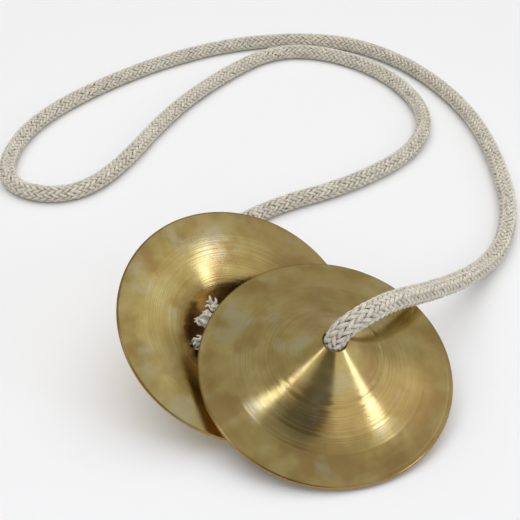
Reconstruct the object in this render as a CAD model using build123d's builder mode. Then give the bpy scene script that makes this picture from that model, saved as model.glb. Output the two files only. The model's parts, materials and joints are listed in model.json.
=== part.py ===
"""A pair of brass finger cymbals joined by one thick cotton cord, lying on a table.

Millimetres, +Z up. The origin is on the table, under the middle of the two cymbals.
"""

from build123d import *
from math import cos, pi, radians, sin, tan
import os

# ---- cymbal: a turned brass shell, described with its cone up and its rim in the plane Z = 0 ----
rim_r = 32.5
hole_r = 3.0
apex_z = 14.0
rim_wall = 1.0
rim_round = 0.35
hole_round = 0.25
# radius, height of the outer skin, height of the inner skin
stations = [
    (hole_r, apex_z, 12.7),
    (8.3, 9.95, 8.7),
    (13.7, 6.2, 5.0),
    (19.0, 3.45, 2.35),
    (24.5, 1.65, 0.6),
    (29.0, 0.85, -0.15),
    (rim_r, 0.5, 0.5 - rim_wall),
]
# the turned lines at mid cone and at the foot of the cone, on the outer skin
ring_grooves = [(13.7, 6.2), (24.5, 1.65)]
groove_half_width = 0.35
groove_depth = 0.2

# ---- how the two cymbals lie ----
front_centre = Vector(10.1, -5.51, 11.79)
front_tilt = 19.3
front_azimuth = -70.6
rear_centre = Vector(-11.6, 6.65, 17.21)
rear_tilt = 31.3
rear_azimuth = -51.8

# ---- knots and frayed ends, measured along each axis from the apex hole into the hollow ----
front_knot_start = 2.2
rear_knot_start = 3.2
knot_r = 6.2
knot_h = 5.5
knot_end_r = 3.5
front_tuft_r = 6.0
front_tuft_h = 5.0
# the rear frayed end is a fan that lies up the cone's inside, out of the knot's side
fan_azimuth = 178.0
fan_slope = 28.0
fan_rise = 4.2
fan_start = 2.5
fan_length = 12.8
fan_half_width = 4.8
fan_half_wall = 1.6
fan_round = 1.2

# ---- cord ----
cord_d = 5.4
laid_z = cord_d / 2
arc_share = 0.45


def leaning(tilt, azimuth):
    """A unit vector that leans from straight up by the tilt, towards the azimuth."""
    side = sin(radians(tilt))
    return Vector(side * cos(radians(azimuth)), side * sin(radians(azimuth)), cos(radians(tilt)))


front_up = leaning(front_tilt, front_azimuth)
rear_up = leaning(rear_tilt, rear_azimuth)
front_hole = front_centre + front_up * apex_z
rear_hole = rear_centre - rear_up * apex_z

# a cymbal's own plane has its Z at the apex; a knot's has its Z from the apex hole into the hollow
front_plane = Plane(origin=front_centre, x_dir=(1, 0, 0), z_dir=front_up)
rear_plane = Plane(origin=rear_centre, x_dir=(1, 0, 0), z_dir=rear_up * -1)
front_inward = Plane(origin=front_hole, x_dir=(1, 0, 0), z_dir=front_up * -1)
rear_inward = Plane(origin=rear_hole, x_dir=(1, 0, 0), z_dir=rear_up)

# the route: corners of the cord's centre line from the front hole round to the rear one
front_exit = [
    front_hole - front_up * front_knot_start,
    front_hole + front_up * 1.9,
    Vector(14.7, -10.2, 30.2),
    Vector(18.6, -8.2, 31.5),
    Vector(26.0, 1.4, 28.2),
    Vector(35.5, 13.5, 21.2),
    Vector(46.5, 29.3, 12.3),
    Vector(58.0, 45.8, 4.8),
]
laid_route = [
    (68.0, 61.3),
    (74.0, 82.8),
    (75.0, 109.8),
    (72.5, 138.8),
    (64.5, 165.8),
    (50.5, 190.8),
    (30.5, 208.3),
    (6.0, 211.8),
    (-22.0, 205.3),
    (-47.0, 189.3),
    (-68.5, 168.8),
    (-85.5, 145.8),
    (-92.8, 125.3),
    (-93.2, 104.3),
    (-86.0, 93.8),
    (-74.0, 90.2),
    (-62.6, 95.2),
    (-52.5, 112.8),
    (-44.5, 135.3),
    (-34.0, 157.8),
    (-19.5, 179.8),
    (-3.0, 198.3),
    (15.0, 200.3),
    (34.5, 189.3),
    (48.5, 169.3),
    (54.5, 145.8),
    (50.5, 126.8),
    (39.5, 110.8),
    (20.5, 95.3),
    (0.0, 85.3),
    (-15.0, 72.8),
    (-23.5, 55.3),
    (-25.5, 37.3),
    (-22.5, 22.3),
]
rear_drop = (rear_hole.Z - laid_z) / rear_up.Z
rear_exit = [rear_hole - rear_up * rear_drop, rear_hole + rear_up * rear_knot_start]
route = front_exit + [Vector(x, y, laid_z) for x, y in laid_route] + rear_exit


def arc_radii(corners):
    """The largest arcs that the runs on either side of each corner leave room for."""
    radii = []
    for before, corner, after in zip(corners, corners[1:], corners[2:]):
        run_in = corner - before
        run_out = after - corner
        half_turn = radians(run_in.get_angle(run_out)) / 2
        radii.append(arc_share * min(run_in.length, run_out.length) / tan(half_turn))
    return radii


def build_cymbal(name, plane):
    """One cymbal, revolved about its plane's Z axis."""
    upright = Plane(origin=plane.origin, x_dir=plane.x_dir, z_dir=plane.y_dir * -1)
    axis = Axis(plane.origin, plane.z_dir)
    with BuildPart() as shell:
        with BuildSketch(upright):
            with BuildLine():
                outer = Spline(*[(r, outer_z) for r, outer_z, inner_z in stations])
                inner = Spline(*[(r, inner_z) for r, outer_z, inner_z in stations])
                Line(outer @ 0, inner @ 0)
                Line(outer @ 1, inner @ 1)
            make_face()
        revolve(axis=axis)
        by_radius = shell.edges().filter_by(GeomType.CIRCLE).sort_by(SortBy.RADIUS)
        fillet(by_radius[-2:], rim_round)
        fillet(by_radius[:2], hole_round)
        for r, z in ring_grooves:
            with BuildSketch(upright):
                with Locations((r, z)):
                    Polygon(
                        (-groove_half_width, groove_depth),
                        (0, -groove_depth),
                        (groove_half_width, groove_depth),
                        align=None,
                    )
            revolve(axis=axis, mode=Mode.SUBTRACT)
    shell.part.label = name
    export_step(shell.part, f"parts/{name}.step")
    return shell


def build_turned(name, plane, start, outline):
    """A solid turned about the plane's Z axis: its outline is (radius, height above start)."""
    upright = Plane(origin=plane.origin, x_dir=plane.x_dir, z_dir=plane.y_dir * -1)
    with BuildPart() as solid:
        with BuildSketch(upright):
            with BuildLine():
                side = Spline(*[(r, start + z) for r, z in outline])
                Polyline(side @ 1, (0, (side @ 1).Y), (0, start), side @ 0)
            make_face()
        revolve(axis=Axis(plane.origin, plane.z_dir))
    solid.part.label = name
    export_step(solid.part, f"parts/{name}.step")
    return solid


os.makedirs("parts", exist_ok=True)

build_cymbal("front_cymbal", front_plane)
build_cymbal("rear_cymbal", rear_plane)

knot_outline = [
    (cord_d / 2, 0),
    (4.7, 1.0),
    (knot_r, knot_h * 0.5),
    (5.4, knot_h * 0.85),
    (knot_end_r, knot_h),
]
build_turned("front_knot", front_inward, front_knot_start, knot_outline)
rear_knot = build_turned("rear_knot", rear_inward, rear_knot_start, knot_outline)

front_tuft_outline = [
    (knot_end_r - 0.5, 0),
    (4.6, front_tuft_h * 0.25),
    (front_tuft_r, front_tuft_h * 0.6),
    (5.2, front_tuft_h * 0.88),
    (3.0, front_tuft_h),
]
build_turned("front_tuft", front_inward, front_knot_start + knot_h, front_tuft_outline)

sideways = Vector(cos(radians(fan_azimuth)), sin(radians(fan_azimuth)), 0)
across = (sideways - rear_up * sideways.dot(rear_up)).normalized()
fan_out = across * cos(radians(fan_slope)) + rear_up * sin(radians(fan_slope))
fan_normal = rear_up * cos(radians(fan_slope)) - across * sin(radians(fan_slope))
fan_plane = Plane(origin=rear_hole + rear_up * fan_rise, x_dir=fan_out, z_dir=fan_normal)
with BuildPart() as rear_tuft:
    with BuildSketch(fan_plane):
        with BuildLine():
            side = Spline(
                (fan_start, 2.0),
                (fan_start + 3.5, 3.6),
                (fan_length - 3.2, fan_half_width),
                (fan_length - 0.5, 2.6),
                (fan_length, 0),
                tangents=[(1, 0.5), (0, -1)],
            )
            mirror(side, about=Plane.XZ)
            Line((fan_start, 2.0), (fan_start, -2.0))
        make_face()
    extrude(amount=fan_half_wall, both=True)
    fillet(rear_tuft.faces().filter_by(Axis(fan_plane.origin, fan_normal)).edges(), fan_round)
    add(rear_knot.part, mode=Mode.SUBTRACT)
rear_tuft.part.label = "rear_tuft"
export_step(rear_tuft.part, "parts/rear_tuft.step")

radii = arc_radii(route)
with BuildPart() as cord:
    with BuildLine() as centre_line:
        path = FilletPolyline(*route, radius=radii)
    with BuildSketch(Plane(origin=path @ 0, z_dir=path % 0)):
        Circle(cord_d / 2)
    sweep(path=centre_line.line)
cord.part.label = "cord"
export_step(cord.part, "parts/cord.step")

cord_length = path.length
print("cord length", round(cord_length, 1), "mm; arc radii", [round(r, 1) for r in radii])
print("tube volume over section times length", cord.part.volume / (pi * cord_d**2 / 4 * cord_length))
print("lowest point of the tube", round(cord.part.bounding_box().min.Z, 3))
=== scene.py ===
"""Two brass finger cymbals on a braided cotton cord: their looks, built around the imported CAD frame.

Metres, in the CAD's own frame. Each cymbal's axis points outward: from its hollow through its apex hole.
"""

import json
import math
import bpy
import numpy as np
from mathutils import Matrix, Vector


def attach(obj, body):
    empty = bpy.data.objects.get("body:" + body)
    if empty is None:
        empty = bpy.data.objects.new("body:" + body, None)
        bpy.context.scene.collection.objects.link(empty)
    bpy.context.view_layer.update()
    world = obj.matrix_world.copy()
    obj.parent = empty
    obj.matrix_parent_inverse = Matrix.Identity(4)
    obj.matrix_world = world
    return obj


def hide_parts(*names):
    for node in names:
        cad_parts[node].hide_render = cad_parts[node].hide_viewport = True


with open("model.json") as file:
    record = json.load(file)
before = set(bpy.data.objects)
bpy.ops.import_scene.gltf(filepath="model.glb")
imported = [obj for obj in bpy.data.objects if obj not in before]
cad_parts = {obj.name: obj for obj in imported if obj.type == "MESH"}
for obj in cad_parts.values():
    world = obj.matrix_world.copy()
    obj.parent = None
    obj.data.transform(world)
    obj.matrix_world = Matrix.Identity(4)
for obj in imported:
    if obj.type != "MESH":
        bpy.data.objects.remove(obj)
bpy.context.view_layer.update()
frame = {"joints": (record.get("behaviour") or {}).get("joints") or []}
scene = bpy.context.scene
scene.view_settings.view_transform = "Standard"
mm = 0.001
up = np.array((0.0, 0.0, 1.0))

# ---- camera ----
camera_place = (-0.00653, -0.21421, 0.19622)
camera_pitch = 35.8
camera_lens = 76.15

camera_data = bpy.data.cameras.new("camera")
camera_data.lens = camera_lens
camera_data.sensor_width = 36.0
camera_data.clip_start = 0.01
camera = bpy.data.objects.new("camera", camera_data)
camera.location = camera_place
camera.rotation_euler = (math.radians(90 - camera_pitch), 0, 0)
scene.collection.objects.link(camera)
scene.camera = camera

# ---- what the frame says ----
joints = {joint["name"]: joint for joint in frame["joints"]}
front_hole = np.array(joints["front_spin"]["pos_m"])
front_out = np.array(joints["front_spin"]["axis"])
rear_hole = np.array(joints["rear_spin"]["pos_m"])
rear_out = np.array(joints["rear_spin"]["axis"])

# ---- cord: the same route as the CAD tube's, as the control points of a smooth curve ----
cord_d = 5.4 * mm
laid_z = cord_d / 2
front_knot_start = 2.2 * mm
rear_knot_start = 3.2 * mm
front_exit = [
    front_hole - front_out * front_knot_start,
    front_hole + front_out * 1.9 * mm,
    (0.0147, -0.0102, 0.0302),
    (0.0186, -0.0082, 0.0315),
    (0.0260, 0.0014, 0.0282),
    (0.0355, 0.0135, 0.0212),
    (0.0465, 0.0293, 0.0123),
    (0.0580, 0.0458, 0.0048),
]
laid_route = [
    (0.0680, 0.0613),
    (0.0740, 0.0828),
    (0.0750, 0.1098),
    (0.0725, 0.1388),
    (0.0645, 0.1658),
    (0.0505, 0.1908),
    (0.0305, 0.2083),
    (0.0060, 0.2118),
    (-0.0220, 0.2053),
    (-0.0470, 0.1893),
    (-0.0685, 0.1688),
    (-0.0855, 0.1458),
    (-0.0928, 0.1253),
    (-0.0932, 0.1043),
    (-0.0860, 0.0938),
    (-0.0740, 0.0902),
    (-0.0626, 0.0952),
    (-0.0525, 0.1128),
    (-0.0445, 0.1353),
    (-0.0340, 0.1578),
    (-0.0195, 0.1798),
    (-0.0030, 0.1983),
    (0.0150, 0.2003),
    (0.0345, 0.1893),
    (0.0485, 0.1693),
    (0.0545, 0.1458),
    (0.0505, 0.1268),
    (0.0395, 0.1108),
    (0.0205, 0.0953),
    (0.0000, 0.0853),
    (-0.0150, 0.0728),
    (-0.0235, 0.0553),
    (-0.0255, 0.0373),
    (-0.0225, 0.0223),
]
rear_drop = (rear_hole[2] - laid_z) / -rear_out[2]
rear_exit = [rear_hole + rear_out * rear_drop, rear_hole - rear_out * rear_knot_start]
route = front_exit + [(x, y, laid_z) for x, y in laid_route] + rear_exit


def read_spline(points):
    """The smooth line of a NURBS curve that has these points as its control points."""
    data = bpy.data.curves.new("route", "CURVE")
    data.dimensions = "3D"
    data.resolution_u = 12
    spline = data.splines.new("NURBS")
    spline.points.add(len(points) - 1)
    for spot, place in zip(spline.points, points):
        spot.co = (*place, 1.0)
    spline.order_u = 3
    spline.use_endpoint_u = True
    carrier = bpy.data.objects.new("route", data)
    mesh = bpy.data.meshes.new_from_object(carrier)
    line = np.array([v.co for v in mesh.vertices])
    bpy.data.meshes.remove(mesh)
    bpy.data.curves.remove(data)
    return line


def unit(vectors):
    """The same vector or vectors, one long."""
    vectors = np.asarray(vectors, float)
    return vectors / np.maximum(np.linalg.norm(vectors, axis=-1, keepdims=True), 1e-12)


def spaced(line, step):
    """The line again, with its points about a step apart."""
    along = np.concatenate([[0], np.cumsum(np.linalg.norm(np.diff(line, axis=0), axis=1))])
    at = np.linspace(0, along[-1], max(3, round(along[-1] / step) + 1))
    return np.stack([np.interp(at, along, line[:, k]) for k in range(3)], axis=1)


def carried_frame(line):
    """Along a line: its direction, and two directions across it that don't twist."""
    ahead = unit(np.gradient(line, axis=0))
    side = np.empty_like(line)
    start = np.cross(ahead[0], up)
    side[0] = unit(start if np.linalg.norm(start) > 0.1 else np.cross(ahead[0], (1.0, 0, 0)))
    for i in range(1, len(line)):
        side[i] = unit(side[i - 1] - ahead[i] * (ahead[i] @ side[i - 1]))
    return ahead, side, np.cross(ahead, side)


def wander(rng, count, period, size):
    """A smooth random track of so many samples, which changes about once a period."""
    knots = rng.normal(0, size, int(count / period) + 4)
    at = np.linspace(0, len(knots) - 2, count)
    low = at.astype(int)
    mix = at - low
    mix = mix * mix * (3 - 2 * mix)
    return knots[low] * (1 - mix) + knots[low + 1] * mix


class Shell:
    """Collects closed tubes into one mesh, with a few named values at each point."""

    def __init__(self):
        self.points = []
        self.faces = []
        self.values = {"tone": [], "depth": [], "across": []}
        self.count = 0

    def tube(self, rings, tone, depth, across=0.0):
        """Adds a tube of rings, (samples, sides, 3).

        Each value is one number, or one for each sample or side.
        """
        samples, sides, _ = rings.shape
        first = self.count + np.arange(samples - 1)[:, None] * sides
        here = np.arange(sides)[None, :]
        after = (np.arange(sides)[None, :] + 1) % sides
        quads = np.stack([first + here, first + after, first + sides + after, first + sides + here], -1)
        self.faces += [quads.reshape(-1, 4)]
        self.faces += [np.array([[self.count + k for k in reversed(range(sides))]])]
        last = self.count + (samples - 1) * sides
        self.faces += [np.array([[last + k for k in range(sides)]])]
        self.points.append(rings.reshape(-1, 3))
        for name, value in (("tone", tone), ("depth", depth), ("across", across)):
            self.values[name].append(np.broadcast_to(value, (samples, sides)).reshape(-1))
        self.count += samples * sides

    def piece(self, name, material, body, slot):
        """The finished object, riding on its body."""
        faces = [tuple(face) for block in self.faces for face in block.tolist()]
        mesh = bpy.data.meshes.new(name)
        mesh.from_pydata(np.concatenate(self.points), [], faces)
        for key, blocks in self.values.items():
            layer = mesh.attributes.new(key, "FLOAT", "POINT")
            layer.data.foreach_set("value", np.concatenate(blocks))
        return finished(name, mesh, material, body)


def finished(name, mesh, material, body):
    """Smooths a mesh and hangs it on its body as a piece."""
    mesh.polygons.foreach_set("use_smooth", np.ones(len(mesh.polygons), bool))
    mesh.materials.append(material)
    mesh.update()
    piece = bpy.data.objects.new(name, mesh)
    scene.collection.objects.link(piece)
    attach(piece, body)
    return piece


def braid(shell, line, radius, yarns, lay, rng):
    """Adds a round braid along a line: yarns run each way round, over two and under two.

    The yarns of the two hands cross at the same planes, a lay over twice the yarns apart.
    """
    # samples from one crossing to the next
    steps = 2
    crossing = lay / (2 * yarns)
    line = spaced(line, crossing / steps)
    _, side, rise = carried_frame(line)
    count = len(line)
    at = np.arange(count)
    # a yarn's thickness, the radius of its middle, how far it swings in and out, and its width
    thick = radius * 0.24
    middle = radius * 0.775
    swing = radius * 0.075
    girth = 2 * math.pi * middle
    overlap = 1.05
    wide = girth / yarns * math.cos(math.atan(girth / lay)) * overlap
    # across a yarn: left edge, two crowns, right edge, underside
    shares = np.array((-1.0, -0.45, 0.45, 1.0, 0.0))
    lifts = np.array((0.0, 1.0, 1.0, 0.0, -0.8))
    edge = 1 - 0.35 * np.abs(shares)
    for hand in (1, -1):
        for k in range(yarns):
            drift = wander(rng, count, 30 * steps, 0.05)
            turn = 2 * math.pi * k / yarns + hand * math.pi * at / (yarns * steps) + drift
            phase = 2 * k + hand * at / steps - 0.5 + (0 if hand > 0 else 2)
            weave = np.cos(math.pi / 2 * phase)
            weave = np.sign(weave) * np.abs(weave) ** 0.7
            out = np.cos(turn)[:, None] * side + np.sin(turn)[:, None] * rise
            reach = middle + swing * weave + wander(rng, count, 12 * steps, radius * 0.012)
            centre = line + out * reach[:, None]
            forward = unit(np.gradient(centre, axis=0))
            across = unit(np.cross(out, forward))
            half_wide = wide / 2 * (1 + 0.10 * weave + wander(rng, count, 9 * steps, 0.05))
            crown = thick * (0.60 + 0.12 * weave)
            rings = (
                centre[:, None]
                + across[:, None] * (half_wide[:, None] * shares)[..., None]
                + out[:, None] * (crown[:, None] * lifts)[..., None]
            )
            tone = rng.uniform(-0.6, 0.6) + wander(rng, count, 14 * steps, 0.35)
            # how high a point stands in the weave, less towards the yarn's edges: the cotton paints shade
            # low down and light on the crowns
            depth = (0.5 + 0.5 * weave)[:, None] * edge[::-hand]
            shell.tube(rings[:, ::-hand], tone[:, None], depth, shares[::-hand])
    # the core shows only through the gaps between the yarns, painted dark as shade
    core = spaced(line, radius * 0.5)
    add_tube(shell, core, radius * 0.62, 10, tone=0.0, depth=-0.5)


def add_tube(shell, line, radius, sides, tone, depth):
    """Adds a round tube along a line. Its radius is one number or one for each point."""
    _, side, rise = carried_frame(line)
    turn = np.arange(sides) / sides * 2 * math.pi
    ring = np.cos(turn)[None, :, None] * side[:, None] + np.sin(turn)[None, :, None] * rise[:, None]
    radius = np.broadcast_to(np.asarray(radius, float).reshape(-1, 1, 1), (len(line), 1, 1))
    shell.tube(line[:, None] + ring * radius, tone, depth)


# ---- materials ----
def new_material(name):
    """An empty node material, with its Principled shader."""
    material = bpy.data.materials.new(name)
    material.use_nodes = True
    tree = material.node_tree
    return material, tree, tree.nodes["Principled BSDF"]


def add_node(tree, kind, inputs=None, **settings):
    """A node with its settings, and with its inputs set to values or linked to other nodes' outputs."""
    node = tree.nodes.new(kind)
    for key, value in settings.items():
        setattr(node, key, value)
    for key, value in (inputs or {}).items():
        if isinstance(value, bpy.types.NodeSocket):
            tree.links.new(value, node.inputs[key])
        else:
            node.inputs[key].default_value = value
    return node


def ramp(tree, value, stops):
    """A colour ramp over a value: stops are (place, colour)."""
    node = add_node(tree, "ShaderNodeValToRGB", {"Fac": value})
    elements = node.color_ramp.elements
    while len(elements) < len(stops):
        elements.new(0.5)
    for element, (place, colour) in zip(elements, stops):
        element.position = place
        element.color = (*colour, 1.0)
    return node.outputs["Color"]


def maths(tree, operation, *values):
    """The result of a Math node."""
    return add_node(tree, "ShaderNodeMath", dict(enumerate(values)), operation=operation).outputs[0]


def stored(tree, name, output="Fac"):
    """A value that the mesh holds at its points."""
    return add_node(tree, "ShaderNodeAttribute", attribute_name=name).outputs[output]


def noise(tree, place, scale, detail):
    """Plain noise over the piece."""
    inputs = {"Vector": place, "Scale": scale, "Detail": detail}
    return add_node(tree, "ShaderNodeTexNoise", inputs).outputs["Fac"]


def add_bump(tree, shader, height, strength, distance):
    """A fine relief in the shader's normal."""
    bump = add_node(tree, "ShaderNodeBump", {"Height": height, "Strength": strength})
    bump.inputs["Distance"].default_value = distance
    tree.links.new(bump.outputs["Normal"], shader.inputs["Normal"])


def remap(tree, value, low, high, to_low, to_high):
    """A value moved from one range to another, and held inside it."""
    inputs = {"Value": value, "From Min": low, "From Max": high, "To Min": to_low, "To Max": to_high}
    return add_node(tree, "ShaderNodeMapRange", inputs).outputs["Result"]


def blend(tree, share, first, second):
    """Two colours mixed."""
    node = add_node(tree, "ShaderNodeMix", data_type="RGBA")
    for socket, value in ((node.inputs[0], share), (node.inputs[6], first), (node.inputs[7], second)):
        if isinstance(value, bpy.types.NodeSocket):
            tree.links.new(value, socket)
        else:
            socket.default_value = value if isinstance(value, float) else (*value, 1.0)
    return node.outputs[2]


def make_cotton(name, dark, mid, light):
    """Cotton yarn: painted light on its crowns, painted shade between the yarns and between its plies, with
    fine fibres along it.
    """
    material, tree, shader = new_material(name)
    depth = stored(tree, "depth")
    tone = stored(tree, "tone")
    across = stored(tree, "across")
    place = add_node(tree, "ShaderNodeTexCoord").outputs["Object"]
    # each yarn shows three plies: the cosine of this angle is zero between them
    ply_angle = 4.7
    bent = remap(tree, noise(tree, place, 700.0, 2.0), 0.3, 0.7, -0.9, 0.9)
    swing = maths(tree, "MULTIPLY_ADD", across, ply_angle, bent)
    ply = maths(tree, "ABSOLUTE", maths(tree, "COSINE", swing))
    fibre = noise(tree, place, 2600.0, 3.0)
    dirt = noise(tree, place, 180.0, 4.0)
    # painted shade low in the weave and between the yarns, painted light on the crowns
    weave = ramp(tree, depth, [(0.0, dark), (0.34, mid), (0.85, light)])
    shade = remap(tree, tone, -1.2, 1.2, 0.84, 1.08)
    speck = remap(tree, fibre, 0.35, 0.7, 0.80, 1.12)
    soil = remap(tree, dirt, 0.35, 0.7, 0.90, 1.05)
    # painted shade in the grooves between the plies
    gap = remap(tree, ply, 0.0, 0.35, 0.55, 1.0)
    product = maths(tree, "MULTIPLY", shade, speck)
    product = maths(tree, "MULTIPLY", product, gap)
    product = maths(tree, "MULTIPLY", product, soil)
    scaled = add_node(tree, "ShaderNodeVectorMath", {0: weave}, operation="SCALE")
    tree.links.new(product, scaled.inputs["Scale"])
    tree.links.new(scaled.outputs[0], shader.inputs["Base Color"])
    add_bump(tree, shader, maths(tree, "ADD", ply, fibre), 0.8, 0.10 * mm)
    shader.inputs["Roughness"].default_value = 0.95
    shader.inputs["Specular IOR Level"].default_value = 0.2
    shader.inputs["Sheen Weight"].default_value = 0.25
    shader.inputs["Sheen Roughness"].default_value = 0.6
    return material


alloy_colours = [
    (0.30, (0.62, 0.46, 0.15)),
    (0.50, (0.78, 0.61, 0.23)),
    (0.70, (0.90, 0.76, 0.34)),
]
stain_colour = (0.56, 0.35, 0.13)
warm_colour = (0.80, 0.55, 0.22)
milky_colour = (0.85, 0.78, 0.49)
painted_groove_shade_colour = (0.42, 0.29, 0.10)
painted_shade_and_reflection_colour = (0.36, 0.19, 0.06)


def make_brass(name):
    """Turned brass: rings round its axis that spread highlights along the radius, with tarnish, painted
    shade in its grooves and deep in its cone, and a painted orange reflection on its edges.
    """
    material, tree, shader = new_material(name)
    place = add_node(tree, "ShaderNodeTexCoord").outputs["Object"]
    turned = stored(tree, "turned", "Vector")
    scored = stored(tree, "scored")
    painted_shade_and_rim_reflection = stored(tree, "painted_shade_and_rim_reflection")

    def turned_noise(stretch, detail, roughness=0.6):
        """Noise drawn out along the rings: stretch is its scale along the outline and round the axis."""
        scaled = add_node(
            tree, "ShaderNodeVectorMath",
            {0: turned, 1: (stretch[0], stretch[1], stretch[1])}, operation="MULTIPLY",
        )
        inputs = {"Vector": scaled.outputs[0], "Scale": 1.0, "Detail": detail, "Roughness": roughness}
        return add_node(tree, "ShaderNodeTexNoise", inputs).outputs["Fac"]

    fine = turned_noise((1.9, 0.30), 4.0, 0.75)
    lines = turned_noise((4.2, 0.12), 1.0)
    band = turned_noise((0.35, 0.6), 2.0)
    cloud = noise(tree, place, 150.0, 6.0)
    patch = noise(tree, place, 85.0, 5.0)
    bloom = add_node(
        tree, "ShaderNodeTexNoise",
        {"Vector": place, "Scale": 95.0, "Detail": 5.0, "W": 4.0}, noise_dimensions="4D",
    ).outputs["Fac"]
    wash = noise(tree, place, 34.0, 3.0)
    colour = ramp(tree, cloud, alloy_colours)
    stain = remap(tree, patch, 0.53, 0.63, 0.0, 0.65)
    colour = blend(tree, stain, colour, stain_colour)
    warm = remap(tree, wash, 0.44, 0.62, 0.0, 0.45)
    colour = blend(tree, warm, colour, warm_colour)
    milky = remap(tree, bloom, 0.54, 0.64, 0.0, 0.60)
    colour = blend(tree, milky, colour, milky_colour)
    # painted shade along the turned grooves: darker lines where the grooves run low
    painted_groove_shade = maths(tree, "MULTIPLY", remap(tree, lines, 0.38, 0.54, 0.5, 0.0), scored)
    colour = blend(tree, painted_groove_shade, colour, painted_groove_shade_colour)
    # painted shade deep inside the cone, and a painted orange reflection on the edges of the hole and the
    # rim
    colour = blend(tree, painted_shade_and_rim_reflection, colour, painted_shade_and_reflection_colour)
    tree.links.new(colour, shader.inputs["Base Color"])
    rough = remap(tree, band, 0.3, 0.7, 0.16, 0.27)
    tree.links.new(rough, shader.inputs["Roughness"])
    shader.inputs["Metallic"].default_value = 1.0
    shader.inputs["Anisotropic"].default_value = 0.65
    tangent = add_node(tree, "ShaderNodeTangent", direction_type="UV_MAP", uv_map="turning")
    tree.links.new(tangent.outputs["Tangent"], shader.inputs["Tangent"])
    ridges = maths(tree, "MULTIPLY", lines, scored)
    height = maths(tree, "MULTIPLY_ADD", fine, 0.20, ridges)
    add_bump(tree, shader, height, 0.6, 0.07 * mm)
    return material


# ---- cymbals ----
# these are in millimetres, with heights above the rim's middle
hole_r = 3.0
rim_r = 32.5
apex_z = 14.0
# radius, height of the outer skin, height of the inner skin
stations = np.array([
    (hole_r, apex_z, 12.7),
    (8.3, 9.95, 8.7),
    (13.7, 6.2, 5.0),
    (19.0, 3.45, 2.35),
    (24.5, 1.65, 0.6),
    (29.0, 0.85, -0.15),
    (rim_r, 0.5, -0.5),
])
# the turned rings on the outer skin: radius, half-width, rise
turned_rings = [(13.7, 0.45, -0.09), (14.8, 0.6, 0.05), (24.5, 0.35, -0.03), (31.4, 0.25, -0.04)]
# how far each skin rounds off, and over what width at the hole and at the rim
edge_round = 0.35
hole_edge = 0.3
rim_edge = 0.4
# painted shade darkens the brass inside the cone, less so towards this radius, and a painted orange
# reflection lies beyond a radius at the rim
deep_r = 16.5
deep_width = 7
reflection_rim_r = 31.9
reflection_rim_width = 0.4
strongest_painted_share = 0.85


def natural_spline(x, y, at):
    """A smooth curve through the points (x, y), read at the places given."""
    n = len(x)
    gap = np.diff(x)
    matrix = np.eye(n)
    right = np.zeros(n)
    for i in range(1, n - 1):
        matrix[i, i - 1:i + 2] = gap[i - 1], 2 * (gap[i - 1] + gap[i]), gap[i]
        right[i] = 6 * ((y[i + 1] - y[i]) / gap[i] - (y[i] - y[i - 1]) / gap[i - 1])
    bend = np.linalg.solve(matrix, right)
    i = np.clip(np.searchsorted(x, at) - 1, 0, n - 2)
    left = at - x[i]
    rest = x[i + 1] - at
    h = gap[i]
    cubic = (bend[i] * rest**3 + bend[i + 1] * left**3) / (6 * h)
    return cubic + (y[i] / h - bend[i] * h / 6) * rest + (y[i + 1] / h - bend[i + 1] * h / 6) * left


def hump(at, centre, width, power=2):
    """One at the centre and nothing far from it. A higher power makes it flatter, with steeper sides."""
    return np.exp(-(((at - centre) / width) ** power))


def cymbal_profile(rng):
    """The turned outline, hole to rim outside and back inside: radius, height, scoring, and painted shade
    and rim reflection.
    """
    fine = np.linspace(hole_r, rim_r, 150)
    outer = natural_spline(stations[:, 0], stations[:, 1], fine)
    inner = natural_spline(stations[:, 0], stations[:, 2], fine)
    outer_scored = 0.55 * hump(fine, 16.5, 8.8, 6)
    inner_scored = 0.8 * hump(fine, 18.0, 9.0, 6)
    outer += 0.014 * outer_scored * wander(rng, len(fine), 1.8, 1.0)
    inner -= 0.008 * inner_scored * wander(rng, len(fine), 1.8, 1.0)
    for centre, width, rise in turned_rings:
        outer += rise * hump(fine, centre, width)
    ends = ((fine - hole_r) / hole_edge, (rim_r - fine) / rim_edge)
    round_in = np.clip(np.minimum(*ends), 0, 1)
    sink = 1 - np.sqrt(1 - (1 - round_in) ** 2)
    outer -= edge_round * sink
    inner += edge_round * sink
    radius = np.concatenate([fine, fine[::-1]])
    height = np.concatenate([outer, inner[::-1]])
    scored = np.concatenate([outer_scored, inner_scored[::-1]])
    # painted shade deep inside the cone, and a painted orange reflection along the edges of the hole and the
    # rim
    deep = np.concatenate([0 * fine, np.clip((deep_r - fine) / deep_width, 0, 1)[::-1]])
    edge = np.maximum(radius - reflection_rim_r, hole_r + edge_round - radius)
    painted_shade_and_rim_reflection = np.maximum(0.7 * edge / reflection_rim_width, strongest_painted_share * deep)
    return radius, height, scored, np.clip(painted_shade_and_rim_reflection, 0, strongest_painted_share)


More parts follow.
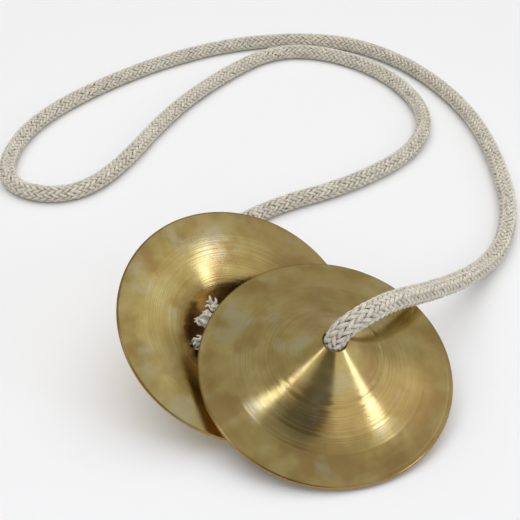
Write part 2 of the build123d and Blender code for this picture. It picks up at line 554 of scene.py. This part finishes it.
def make_cymbal(node, hole, out, material, seed):
    """One cymbal, turned round its axis through the hole. Its CAD node and its body share one name."""
    name = f"{node}_brass"
    radius, height, scored, painted_shade_and_rim_reflection = cymbal_profile(np.random.default_rng(seed))
    sides = 224
    # millimetres along the outline for one unit of the UV map
    uv_length = 70
    across = unit(np.cross(out, (0, 1.0, 0)))
    other = np.cross(out, across)
    turn = np.arange(sides) / sides * 2 * math.pi
    around = np.cos(turn)[:, None] * across + np.sin(turn)[:, None] * other
    points = (
        hole + out * ((height - apex_z) * mm)[:, None, None] + around[None] * (radius * mm)[:, None, None]
    )
    rows = len(radius)
    i = np.arange(rows)[:, None]
    j = np.arange(sides)[None, :]
    next_i = (i + 1) % rows
    next_j = (j + 1) % sides
    corners = np.stack(
        [i * sides + j, next_i * sides + j, next_i * sides + next_j, i * sides + next_j], axis=-1
    ).reshape(-1, 4)
    mesh = bpy.data.meshes.new(name)
    mesh.from_pydata(points.reshape(-1, 3), [], corners.tolist())
    walk = np.concatenate([[0], np.cumsum(np.hypot(np.diff(radius), np.diff(height)))])
    turned = np.stack(
        [np.repeat(walk, sides), np.tile(np.cos(turn), rows), np.tile(np.sin(turn), rows)], axis=1
    )
    layer = mesh.attributes.new("turned", "FLOAT_VECTOR", "POINT")
    layer.data.foreach_set("vector", turned.ravel())
    for key, value in (("scored", scored), ("painted_shade_and_rim_reflection", painted_shade_and_rim_reflection)):
        layer = mesh.attributes.new(key, "FLOAT", "POINT")
        layer.data.foreach_set("value", np.repeat(value, sides))
    row, column = np.broadcast_arrays(i, j)
    u = np.append(walk, walk[-1] + 1)[np.stack([row, row + 1, row + 1, row], -1)] / uv_length
    v = np.stack([column, column, column + 1, column + 1], -1) / sides
    layer = mesh.uv_layers.new(name="turning")
    layer.data.foreach_set("uv", np.stack([u, v], axis=-1).ravel())
    piece = finished(name, mesh, material, node)
    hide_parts(node)


# ---- cord, knots and frayed ends ----
# each cotton's first colour is the painted shade between the yarns, its last the painted light on the crowns
cotton = make_cotton("cord_cotton", (0.08, 0.065, 0.045), (0.62, 0.57, 0.455), (0.92, 0.86, 0.72))
# a darker copy of the cotton, painted as in shade, for the loose fibres and the frayed ends inside the cones
shaded_cotton = make_cotton("shaded_cotton", (0.30, 0.26, 0.20), (0.60, 0.56, 0.47), (0.74, 0.69, 0.60))
brass = make_brass("turned_brass")

line = read_spline(route)
cord_shell = Shell()
braid(cord_shell, line, cord_d / 2, yarns=12, lay=27 * mm, rng=np.random.default_rng(1))
cord = cord_shell.piece("braided_cord", cotton, "cord", "cotton_cord")
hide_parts("cord")


def add_fuzz(shell, line, radius, count, rng):
    """Adds loose fibres that stand off the braid."""
    dense = spaced(line, 0.5 * mm)
    ahead, side, rise = carried_frame(dense)
    lowest = 0.05 * mm
    thickness = np.linspace(0.034, 0.016, 5) * mm
    for _ in range(count):
        k = rng.integers(4, len(dense) - 4)
        turn = rng.uniform(0, 2 * math.pi)
        out = math.cos(turn) * side[k] + math.sin(turn) * rise[k]
        lean = unit(ahead[k] * rng.normal(0, 1) + np.cross(out, ahead[k]) * rng.normal(0, 1))
        size = rng.uniform(0.5, 1.6) * mm
        root = dense[k] + out * radius * 0.9
        t = np.linspace(0, 1, 5)[:, None]
        curl = unit(rng.normal(0, 1, 3))
        stand = out * size * (0.45 * t - 0.2 * t * t)
        hair = root + stand + lean * size * t * 0.8 + curl * size * 0.35 * t * t
        if hair[:, 2].min() >= lowest:
            add_tube(shell, hair, thickness, 3, tone=0.5, depth=0.9)


fuzz_shell = Shell()
add_fuzz(fuzz_shell, line, cord_d / 2, count=7500, rng=np.random.default_rng(2))
fuzz = fuzz_shell.piece("cord_fuzz", shaded_cotton, "cord", "cotton_cord")


def make_knot(name, hole, out, start, seed):
    """A tight trefoil knot of the same braid, jammed in the cone under the hole."""
    across = unit(np.cross(out, (0, 1.0, 0)))
    other = np.cross(out, across)
    flat = 1.42 * mm
    tall = 1.15 * mm
    middle = start + 2.9 * mm
    t = np.linspace(0, 2 * math.pi, 160)
    x = flat * (np.sin(t) + 2 * np.sin(2 * t))
    y = flat * (np.cos(t) - 2 * np.cos(2 * t))
    z = -tall * np.sin(3 * t)
    centre = hole - out * middle
    path = centre + x[:, None] * across + y[:, None] * other + z[:, None] * out
    shell = Shell()
    braid(shell, path, 1.8 * mm, yarns=8, lay=10 * mm, rng=np.random.default_rng(seed))
    return shell.piece(name, cotton, "cord", "cotton_cord")


def add_yarn(shell, root, tip, push, radius, rng, crimp=0.35 * mm):
    """Adds one crimped yarn end from root to tip, bowed by push."""
    t = np.linspace(0, 1, 14)[:, None]
    line = root + (tip - root) * t + push * (4 * t * (1 - t))
    reach = np.linalg.norm(tip - root)
    a = unit(rng.normal(0, 1, 3))
    b = unit(np.cross(a, tip - root))
    a = unit(np.cross(b, tip - root))
    crimp_length = 2.6 * mm
    turns = reach / crimp_length
    phase = rng.uniform(0, 2 * math.pi)
    angle = 2 * math.pi * turns * t
    sway = np.sin(angle + phase) * a + 0.6 * np.cos(angle * 0.83 + phase) * b
    wave = crimp * np.minimum(1, 4 * t) * sway
    swell = 1 + 0.18 * np.sin(2 * math.pi * turns * 1.7 * t[:, 0] + phase)
    taper = np.clip((1 - t[:, 0]) * 9, 0.35, 1)
    add_tube(shell, line + wave, radius * swell * taper, 7, tone=rng.uniform(-1, 1), depth=0.85)


front_knot = make_knot("front_knot_braid", front_hole, front_out, front_knot_start, 3)
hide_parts("front_knot")
rear_knot = make_knot("rear_knot_braid", rear_hole, rear_out, rear_knot_start, 4)
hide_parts("rear_knot")


def polar(hole, out, azimuth, radius, height):
    """A point beside a cymbal's axis: azimuth from +X about +Z in degrees, the rest in millimetres.

    The radius is across the axis, and the height is into the hollow from the apex hole.
    """
    around = np.array((math.cos(math.radians(azimuth)), math.sin(math.radians(azimuth)), 0.0))
    around = unit(around - out * (around @ out))
    return hole - out * height * mm + around * radius * mm


def make_front_tuft():
    """The frayed end that hangs from the front knot."""
    rng = np.random.default_rng(5)
    shell = Shell()
    yarns = 34
    # the yarns go three times round the knot
    for k in range(yarns):
        azimuth = 360 * k / yarns * 3 + rng.uniform(-20, 20)
        spread = 5.0 * math.sqrt(rng.uniform(0.05, 1))
        root = polar(front_hole, front_out, azimuth, 1.3, 6.5)
        tip = polar(front_hole, front_out, azimuth, spread, rng.uniform(9.5, 12.3))
        bow = -front_out * rng.uniform(-0.3, 0.3) * mm
        add_yarn(shell, root, tip, bow, rng.uniform(0.30, 0.42) * mm, rng)
    return shell.piece("front_frayed_end", shaded_cotton, "cord", "cotton_tuft")


def make_rear_tuft():
    """The frayed end that lies up the inside of the rear cone, in two clumps."""
    rng = np.random.default_rng(6)
    shell = Shell()
    # azimuth, radius, height and number of yarns; the first three make one clump, the last the other
    clumps = [(143, 10.6, 10.4, 6), (160, 9.6, 10.4, 10), (176, 10.7, 9.8, 12), (212, 12.2, 8.8, 13)]
    for azimuth, radius, height, count in clumps:
        root = polar(rear_hole, rear_out, azimuth, 4.0, 8.4)
        for _ in range(count):
            reach = radius + rng.uniform(-2.4, 0.6)
            bearing = azimuth + rng.normal(0, 4)
            tip = polar(rear_hole, rear_out, bearing, reach, height + rng.uniform(-0.9, 1.1))
            start = root + rng.normal(0, 0.7, 3) * mm
            bow = -rear_out * rng.uniform(-0.2, 1.0) * mm
            add_yarn(shell, start, tip, bow, rng.uniform(0.36, 0.52) * mm, rng, crimp=0.55 * mm)
    return shell.piece("rear_frayed_end", shaded_cotton, "cord", "cotton_tuft")


front_tuft = make_front_tuft()
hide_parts("front_tuft")
rear_tuft = make_rear_tuft()
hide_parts("rear_tuft")

make_cymbal("front_cymbal", front_hole, front_out, brass, seed=7)
make_cymbal("rear_cymbal", rear_hole, rear_out, brass, seed=8)


# ---- floor and light ----
def make_floor():
    """A plain pale floor at the height of the table."""
    material, tree, shader = new_material("pale_floor")
    grain = add_node(tree, "ShaderNodeTexNoise", {"Scale": 3.0, "Detail": 2.0}).outputs["Fac"]
    pale = ramp(tree, grain, [(0.3, (0.90, 0.90, 0.90)), (0.7, (0.93, 0.93, 0.93))])
    tree.links.new(pale, shader.inputs["Base Color"])
    shader.inputs["Roughness"].default_value = 0.9
    half = 3.0
    corners = [(-half, -half, 0), (half, -half, 0), (half, half, 0), (-half, half, 0)]
    mesh = bpy.data.meshes.new("floor")
    mesh.from_pydata(corners, [], [(0, 1, 2, 3)])
    mesh.materials.append(material)
    floor = bpy.data.objects.new("floor", mesh)
    scene.collection.objects.link(floor)


def heading(azimuth, elevation):
    """A direction: azimuth from +Y towards +X, and elevation above the floor, in degrees."""
    a, e = math.radians(azimuth), math.radians(elevation)
    return np.array((math.sin(a) * math.cos(e), math.cos(a) * math.cos(e), math.sin(e)))


def side_of(tree, direction, azimuth, elevation, low, high):
    """From 0 to 1 as a direction's share along a heading goes from low to high."""
    inputs = {0: direction, 1: tuple(heading(azimuth, elevation))}
    dot = add_node(tree, "ShaderNodeVectorMath", inputs, operation="DOT_PRODUCT").outputs["Value"]
    limits = {"Value": dot, "From Min": low, "From Max": high}
    return add_node(tree, "ShaderNodeMapRange", limits, interpolation_type="SMOOTHSTEP").outputs["Result"]


def shared_part(tree, direction, sides):
    """From 0 to 1: how far a direction is inside all of the sides."""
    share = 1.0
    for azimuth, elevation, low, high in sides:
        here = side_of(tree, direction, azimuth, elevation, low, high)
        share = maths(tree, "MULTIPLY", here, share)
    return share


# azimuth, elevation, low, high
pale_sides = [(150, 0, -0.10, 0.20), (0, 90, 0.10, 0.36), (0, -90, -0.88, -0.70)]
dark_sides = [(253, 0, -0.02, 0.04), (120, 0, -0.30, 0.08), (0, -90, -0.98, -0.88)]


def make_world():
    """A dim studio: a paler band of wall from the right round behind the camera, with a dark gap in it."""
    world = bpy.data.worlds.new("studio")
    world.use_nodes = True
    tree = world.node_tree
    direction = add_node(tree, "ShaderNodeTexCoord").outputs["Generated"]
    pale = shared_part(tree, direction, pale_sides)
    dark = shared_part(tree, direction, dark_sides)
    level = remap(tree, pale, 0.0, 1.0, 0.33, 0.60)
    keep = remap(tree, dark, 0.0, 1.0, 1.0, 0.20)
    background = tree.nodes["Background"]
    tree.links.new(maths(tree, "MULTIPLY", level, keep), background.inputs["Strength"])
    background.inputs["Color"].default_value = (1.0, 0.98, 0.95, 1.0)
    scene.world = world


box_colour = (0.90, 1.0, 1.38)
fill_colour = (1.0, 1.0, 1.0)


def add_box(name, azimuth, elevation, away, wide, tall, radiance, glossy=True):
    """A soft box in a direction from the cymbals. Its sides are angles, and its light is even over its face.

    One that isn't glossy is a fill: it gives light, and doesn't show in reflections.
    """
    size = [2 * away * math.tan(math.radians(angle / 2)) for angle in (wide, tall)]
    data = bpy.data.lights.new(name, "AREA")
    data.shape = "RECTANGLE"
    data.size, data.size_y = size
    data.energy = radiance * math.pi * size[0] * size[1]
    light = bpy.data.objects.new(name, data)
    way = Vector(heading(azimuth, elevation))
    light.location = way * away
    light.rotation_euler = (-way).to_track_quat("-Z", "Y").to_euler()
    light.visible_glossy = glossy
    data.color = box_colour if glossy else fill_colour
    scene.collection.objects.link(light)


make_floor()
make_world()
add_box("right_box", azimuth=115, elevation=29, away=0.9, wide=11, tall=29, radiance=2.05)
add_box("left_box", azimuth=-124, elevation=54, away=0.9, wide=7, tall=36, radiance=1.85)
add_box("overhead_fill", 0, 80, away=1.2, wide=75, tall=75, radiance=1.28, glossy=False)
add_box("front_fill", 180, 35, away=1.5, wide=40, tall=40, radiance=0.95, glossy=False)
